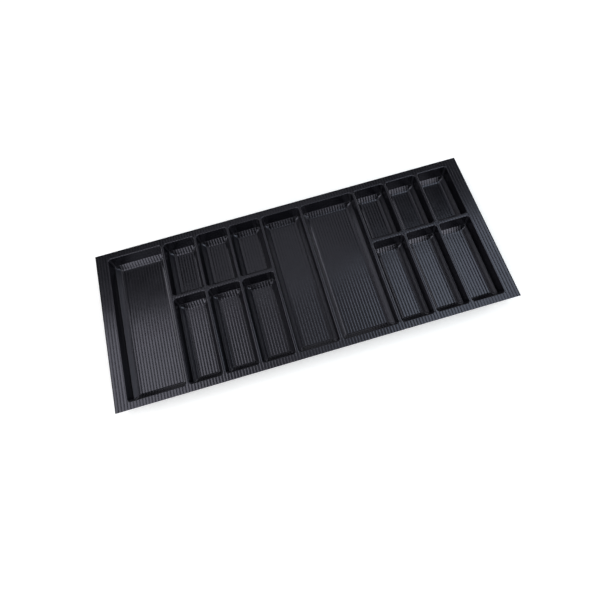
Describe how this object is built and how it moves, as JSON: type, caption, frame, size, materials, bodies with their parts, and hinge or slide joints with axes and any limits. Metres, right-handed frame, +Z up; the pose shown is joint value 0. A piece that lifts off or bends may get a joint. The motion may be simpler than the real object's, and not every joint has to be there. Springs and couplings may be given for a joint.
{
  "type": "thermoformed plastic tray",
  "caption": "Long shallow black tray formed from one ribbed plastic sheet, with a flat flange and drafted compartments that keep cutlery apart in a kitchen drawer.",
  "frame": {"origin": "centre of the footprint, on the plane that the compartment floors rest on", "axes": "+X along the tray's length to the right, +Y from front to back, +Z up"},
  "size_m": [1.17, 0.49, 0.05],
  "materials": {
    "tray_plastic": "satin"
  },
  "bodies": {
    "root": {"tray": "tray_plastic"}
  },
  "joints": []
}
